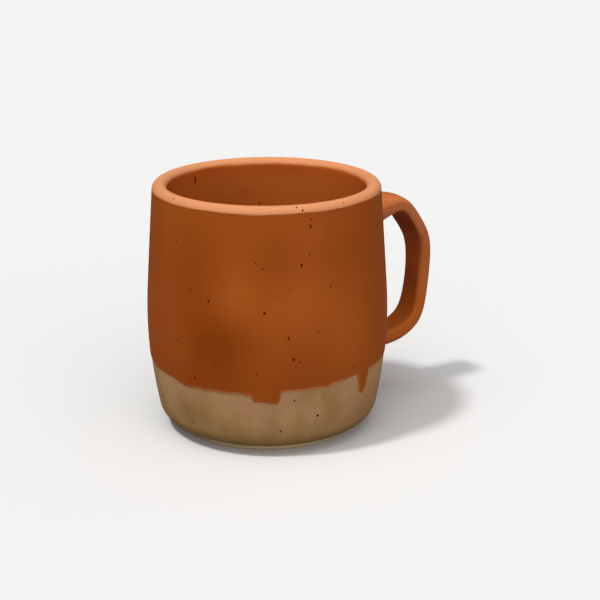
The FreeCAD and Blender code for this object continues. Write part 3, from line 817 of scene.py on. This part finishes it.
def strap_points(share, turns, grown):
    """Points of the strap: centre + across along Y + out along the way out of the bend.

    Near the wall the section spreads by an exponential of the distance, as the smoothed clay does.
    The inner corners are tightest at the two bends, where their share swings as a cosine of the
    length, and at the wall, where they cover the slip.
    """
    at = share * (len(strap) - 1)
    centre, height, width, thickness = (
        np.interp(at, np.arange(len(strap)), strap[:, k]) for k in range(4)
    )
    out_x, out_z = (np.interp(at, np.arange(len(strap)), outward[:, k]) for k in (0, 1))
    clear = np.maximum(centre - outer_wall(height)[0], 0)
    rooted = np.exp(-clear / ROOT_FADE)
    spread = 2 * ROOT_SPREAD * rooted
    thickness = thickness + spread
    corner = thickness * (STRAP_CORNER + CORNER_SWING * np.cos(4 * math.pi * share))
    corner = corner * (1 - ROOT_CORNER_LOSS * rooted)
    across, out = strap_section(width + spread, thickness, corner, grown, turns)
    return np.stack([centre + out * out_x, across, height + out * out_z], axis=-1)


share = np.linspace(0, 1, ALONG)[:, None]
turns = np.broadcast_to(np.linspace(0, 1, AROUND + 1)[:-1], (ALONG, AROUND))
core = strap_points(share, turns, 0.0)
clay_handle = solid("clay_handle", core, poles=[core[0].mean(axis=0), core[-1].mean(axis=0)])
clay_handle.data.materials.append(stoneware)
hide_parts("handle")
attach(clay_handle, "root")
coated = strap_points(share, turns, GLAZE)

# The glaze breaks palest over the edges and less on the crown. The flat inner face carries painted
# shade: it keeps little of the pallor and is darker. Both places are counted in runs of the section
SHADED_FACE_START, SHADED_FACE_END, SHADED_FACE_FADE = 4.4, 6.6, 0.6
CROWN_MIDDLE, CROWN_SPREAD, CROWN_LOSS = 2.0, 1.2, 0.6
# Stretches of the flat face that carry the most painted shade: height, spread and strength
SHADE_STRETCHES = ((65, 7, 1.0), (41, 8, 0.8))
# The coat's fullness all over the strap, and the painted shade added on the flat face
FULL_LEAST, FACE_SHADE = 0.1, 0.6
# The least shares of its pallor that the shaded face loses, and of the painted shade that it gains
LOSS_LEAST, GAIN_LEAST = 0.7, 0.3
# Pallor low on the strap, and the painted light that each height adds to it over the rise, so that
# the strap's upper, lit part is paler
PALLOR_LEAST, PAINTED_LIGHT_RISE = 0.07, 12
PAINTED_LIGHT_STEPS = ((32, 0.13), (55, 0.17))
# The strap is no paler than the wall's coat where it runs into it, up to this far out
PALLOR_CLEAR = 7
runs = turns * SECTION_RUNS
shaded_face = soft_step((runs - SHADED_FACE_START) / SHADED_FACE_FADE)
shaded_face = shaded_face * soft_step((SHADED_FACE_END - runs) / SHADED_FACE_FADE)
level = core[..., 2]
shade_along = sum(
    strength * np.exp(-(((level - middle) / spread) ** 2))
    for middle, spread, strength in SHADE_STRETCHES
)
crown = np.exp(-(((runs - CROWN_MIDDLE) / CROWN_SPREAD) ** 2))
pale = PALLOR_LEAST + sum(
    more * soft_step((level - start) / PAINTED_LIGHT_RISE) for start, more in PAINTED_LIGHT_STEPS
)
pale = pale * (1 - shaded_face * np.clip(shade_along, LOSS_LEAST, 1)) * (1 - CROWN_LOSS * crown)
clear = np.hypot(core[..., 0], core[..., 1]) - outer_wall(level)[0]
pale = pale * soft_step(clear / PALLOR_CLEAR)
full = FULL_LEAST + FACE_SHADE * shaded_face * np.clip(shade_along, GAIN_LEAST, 1)
handle_coat = solid(
    "dipped_handle_glaze",
    np.concatenate([coated, core[::-1]]),
    marks={"pale": np.concatenate([pale, pale]), "full": np.concatenate([full, full])},
)
handle_coat.data.materials.append(glaze)
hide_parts("handle_glaze")
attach(handle_coat, "root")

# Iron specks. Grains of iron in the clay melt while it fires and bleed up through the glaze:
# brown-black dots, half a millimetre to one across, that stand a hair above what carries them.

# Rings of a speck from its middle outwards: share of half its size, lift and strength of the iron
SPECK_RINGS = ((0.4, 0.015, 1.0), (0.8, 0.01, 1.0), (1.1, -0.004, 0.0), (1.1, -0.04, 0.0))
SPECK_TURNS = 14
# Depths of the two and of the three lobes of a speck's ragged edge
TWO_LOBES, THREE_LOBES = 0.2, 0.12
# The smallest scattered speck, and how much larger the largest is
SMALLEST, LARGER = 0.4, 0.65
# Azimuths between which the wall and the lip face away from the photograph's view
FAR_WALL, FAR_LIP = (-34, 147), (-30, 145)
# Azimuth in degrees, height and size in millimetres; on the lip the height is an angle
WALL_SPECKS = [
    (-102.5, 85.4, 0.6), (-103.1, 83.0, 0.95), (-103.9, 73.6, 0.6), (-107.9, 70.2, 0.95),
    (-128.9, 71.4, 0.6), (-125.8, 69.4, 0.6), (-93.7, 61.7, 0.7), (-171.0, 75.3, 0.7),
    (172.8, 62.0, 0.5), (-161.1, 60.0, 0.6), (-144.3, 64.2, 0.4), (-151.1, 57.1, 0.95),
    (-118.7, 59.7, 0.4), (-113.7, 62.0, 0.4), (-125.0, 54.3, 0.95), (-114.4, 45.4, 0.9),
    (-100.5, 46.7, 0.6), (-169.0, 41.0, 0.7), (-112.2, 37.7, 1.0), (-109.0, 36.4, 0.65),
    (-148.3, 34.6, 0.6), (-128.8, 32.6, 0.6), (-159.2, 28.3, 1.0), (-162.4, 27.4, 0.5),
    (-80.8, 30.4, 0.6),
]
CLAY_SPECKS = [
    (168.6, 13.8, 0.6), (-111.4, 22.2, 0.7), (-99.3, 15.1, 1.0), (-69.8, 10.1, 0.9),
    (-64.8, 19.0, 0.6), (-117.7, 10.3, 0.75), (-164.4, 10.1, 0.7),
]
LIP_SPECKS = [(-175.9, 49.7, 0.6), (-109.3, 55.5, 0.6), (-106.7, 28.2, 0.7), (-83.7, 44.7, 0.5)]
INSIDE_SPECKS = [(60.8, 72.7, 0.75)]
INSIDE_STREAK = (104.5, 84.9, 1.1)
# On the strap the degrees run along its length and the second number is the share of a turn
STRAP_SPECKS = [(134, 0.55, 0.7), (40.5, 0.4, 0.45)]
# The strap's girth, how pale the coat is over its specks, partly painted light as on the strap
# round them, and the inner streak's length to width
STRAP_ROUND = 27.0
HANDLE_PALLOR = 0.2
STREAK_STRETCH = 2.4
dice = np.random.default_rng(11)


def scattered(count, azimuths, heights):
    """Specks spread evenly between two azimuths and two heights, most of them small.

    The size is the smallest one plus the square of an even draw times the rest.
    """
    size = SMALLEST + LARGER * dice.random(count) ** 2
    return list(zip(dice.uniform(*azimuths, count), dice.uniform(*heights, count), size))


def specks(name, spots, place, carrier, pallor=0.0, stretch=1.2):
    """Low closed caps: rings at shares of half the size round each spot, lifted and then sunk.

    A ring is (cos, sin) of the turn, times one plus two small waves with phases of the spot.
    """
    turns = np.arange(SPECK_TURNS) * 2 * math.pi / SPECK_TURNS
    quads, fans = grid_faces(len(SPECK_RINGS), SPECK_TURNS, 2)
    points, iron = [], []
    for degrees, height, width in spots:
        ragged = 1 + TWO_LOBES * np.sin(2 * turns + degrees)
        ragged = ragged + THREE_LOBES * np.sin(3 * turns + height)
        azimuth = math.radians(degrees)
        for reach, lift, strength in SPECK_RINGS:
            out = reach * width / 2 * ragged
            across, up = out * np.cos(turns), stretch * out * np.sin(turns)
            points.append(place(azimuth, height, across, up, lift))
            iron += [strength] * SPECK_TURNS
        for lift, strength in ((SPECK_RINGS[0][1], 1.0), (SPECK_RINGS[-1][1], 0.0)):
            points.append(place(azimuth, height, np.zeros(1), np.zeros(1), lift))
            iron.append(strength)
    points = np.concatenate(points)
    starts = np.arange(len(spots))[:, None, None] * (len(SPECK_RINGS) * SPECK_TURNS + 2)
    marks = {"iron": iron, "pale": np.full(len(points), pallor)}
    piece = new_piece(
        name, points, (quads + starts).reshape(-1, 4), (fans + starts).reshape(-1, 3), marks
    )
    piece.data.materials.append(carrier.data.materials[0])
    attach(piece, "root")


def on_coat(azimuth, height, across, up, lift):
    """On the glazed wall: the azimuth grows by across over the radius, and the height by up."""
    azimuth, height = azimuth + across / BELLY_RADIUS, height + up
    return on_outer_wall(azimuth, height, coat_depth(azimuth, height) + lift)


def on_clay(azimuth, height, across, up, lift):
    """The same on the bare wall."""
    return on_outer_wall(azimuth + across / BELLY_RADIUS, height + up, lift)


def on_lip(azimuth, degrees, across, up, lift):
    """On the round lip: the angle about its centre grows by up over the glazed lip's radius."""
    reach = LIP + GLAZE
    angle = math.radians(degrees) + up / reach
    azimuth = azimuth + across / LIP_RADIUS
    radius = LIP_RADIUS + (reach + lift) * np.cos(angle)
    height = LIP_HEIGHT + (reach + lift) * np.sin(angle)
    return np.stack([radius * np.cos(azimuth), radius * np.sin(azimuth), height], axis=1)


def on_inside(azimuth, height, across, up, lift):
    """On the glaze inside: the outer wall's point moved in by the wall and the coat."""
    azimuth = azimuth + across / (BELLY_RADIUS - WALL)
    return on_outer_wall(azimuth, height + up, -WALL - GLAZE - lift)


def on_strap(azimuth, turn, across, up, lift):
    """On the strap: a whole circle of azimuth stands for its length, a whole turn for its girth."""
    share = azimuth / (2 * math.pi) + across / knots[-1]
    return strap_points(share, turn + up / STRAP_ROUND, GLAZE + lift)


wall_spots = WALL_SPECKS + scattered(75, FAR_WALL, (33, 84))
specks("wall_iron_specks", wall_spots, on_coat, outer_coat)
clay_spots = CLAY_SPECKS + scattered(22, FAR_WALL, (10, 25))
specks("clay_iron_specks", clay_spots, on_clay, clay_body)
lip_spots = LIP_SPECKS + scattered(10, FAR_LIP, (15, 60))
specks("lip_iron_specks", lip_spots, on_lip, rim_coat, pallor=1.0)
inside_spots = INSIDE_SPECKS + scattered(40, (-180, 180), (25, 70))
specks("inside_iron_specks", inside_spots, on_inside, liner)
specks("inside_iron_streak", [INSIDE_STREAK], on_inside, liner, stretch=STREAK_STRETCH)
strap_spots = STRAP_SPECKS + scattered(12, (50, 320), (0.0, 0.36))
specks("handle_iron_specks", strap_spots, on_strap, handle_coat, pallor=HANDLE_PALLOR)

# Studio. A plain pale table that runs back out of view, a soft key from the left above with wide
# cloth round it, an overhead light and three broad panels, and a portrait-length camera half a
# metre away.

# Matt board, white to the camera; the object sees it as grey, as if dark cloth lay round the set.
# It reaches this many metres each way
TABLE_REACH = 12
paper = new_material("matt_white_board")
seen = add_node(paper, "ShaderNodeLightPath").outputs["Is Camera Ray"]
tone = layered_tone(paper, "#8A8A8A", [(seen, None, "#F8F8F7")])
skin = add_node(paper, "ShaderNodeBsdfDiffuse", {"Color": tone})
add_node(paper, "ShaderNodeOutputMaterial", {"Surface": skin.outputs[0]})
mesh = bpy.data.meshes.new("table_top")
corners = [(x * TABLE_REACH, y * TABLE_REACH, 0) for x, y in ((-1, -1), (1, -1), (1, 1), (-1, 1))]
mesh.from_pydata(corners, [], [(0, 1, 2, 3)])
mesh.materials.append(paper)
table = bpy.data.objects.new("table_top", mesh)
bpy.context.scene.collection.objects.link(table)

# The key and the wide cloth round it, with their levels and spreads in degrees
KEYS = [("soft_key", 1.3, 6), ("key_cloth", 0.35, 50)]
KEY_WAY = Vector((-0.41, 0.04, 0.90))
# The overhead light's level, and the sines of the heights where it begins and is full
OVERHEAD = 1.0
OVERHEAD_EDGE = (0.8, 0.94)
# A panel of light fades to its sides as this power of the cosine
PANEL_POWER = 3.0
# Way towards each broad panel, and its level: in front, right of it and behind right
PANELS = [
    (Vector((-0.54, -0.76, 0.37)), 1.15),
    (Vector((0.16, -0.91, 0.37)), 0.6),
    (Vector((0.91, 0.16, 0.37)), 0.35),
]
world = bpy.data.worlds.new("studio_surround")
world.use_nodes = True
world.node_tree.nodes.clear()
way = add_node(world, "ShaderNodeTexCoord").outputs["Generated"]
up = add_node(world, "ShaderNodeSeparateXYZ", {0: way}).outputs[2]
overhead = add_node(
    world,
    "ShaderNodeMapRange",
    {"Value": up, "From Min": OVERHEAD_EDGE[0], "From Max": OVERHEAD_EDGE[1]},
    interpolation_type="SMOOTHSTEP",
)
level = add_node(
    world, "ShaderNodeMath", {0: overhead.outputs[0], 1: OVERHEAD}, operation="MULTIPLY"
).outputs[0]
for panel_way, strength in PANELS:
    cosine = add_node(
        world,
        "ShaderNodeVectorMath",
        {0: way, 1: panel_way.normalized()},
        operation="DOT_PRODUCT",
    ).outputs["Value"]
    facing = add_node(world, "ShaderNodeMath", {0: cosine, 1: 0.0}, operation="MAXIMUM").outputs[0]
    lobe = add_node(world, "ShaderNodeMath", {0: facing, 1: PANEL_POWER}, operation="POWER")
    level = add_node(
        world,
        "ShaderNodeMath",
        {0: lobe.outputs[0], 1: strength, 2: level},
        operation="MULTIPLY_ADD",
    ).outputs[0]
seen = add_node(world, "ShaderNodeLightPath").outputs["Is Camera Ray"]
lit = add_node(world, "ShaderNodeBackground", {"Strength": level})
shown = add_node(world, "ShaderNodeBackground", {"Color": linear("#F4F4F3"), "Strength": 1.0})
both = add_node(world, "ShaderNodeMixShader", {0: seen, 1: lit.outputs[0], 2: shown.outputs[0]})
add_node(world, "ShaderNodeOutputWorld", {"Surface": both.outputs[0]})
bpy.context.scene.world = world
for name, energy, spread in KEYS:
    key = bpy.data.lights.new(name, "SUN")
    key.energy = energy
    key.angle = math.radians(spread)
    key_object = bpy.data.objects.new(name, key)
    key_object.rotation_euler = KEY_WAY.to_track_quat("Z", "Y").to_euler()
    bpy.context.scene.collection.objects.link(key_object)

camera = bpy.data.cameras.new("camera")
camera.lens = 85
camera.sensor_width = 36
camera.clip_start = 0.01
camera.clip_end = 100
eye = Vector((-272.6, -410.0, 204.3)) * MM
aim = Vector((9.72, -6.81, 45.10)) * MM
camera_object = bpy.data.objects.new("camera", camera)
camera_object.location = eye
camera_object.rotation_euler = (aim - eye).to_track_quat("-Z", "Y").to_euler()
bpy.context.scene.collection.objects.link(camera_object)
bpy.context.scene.camera = camera_object
bpy.context.scene.view_settings.view_transform = "Standard"
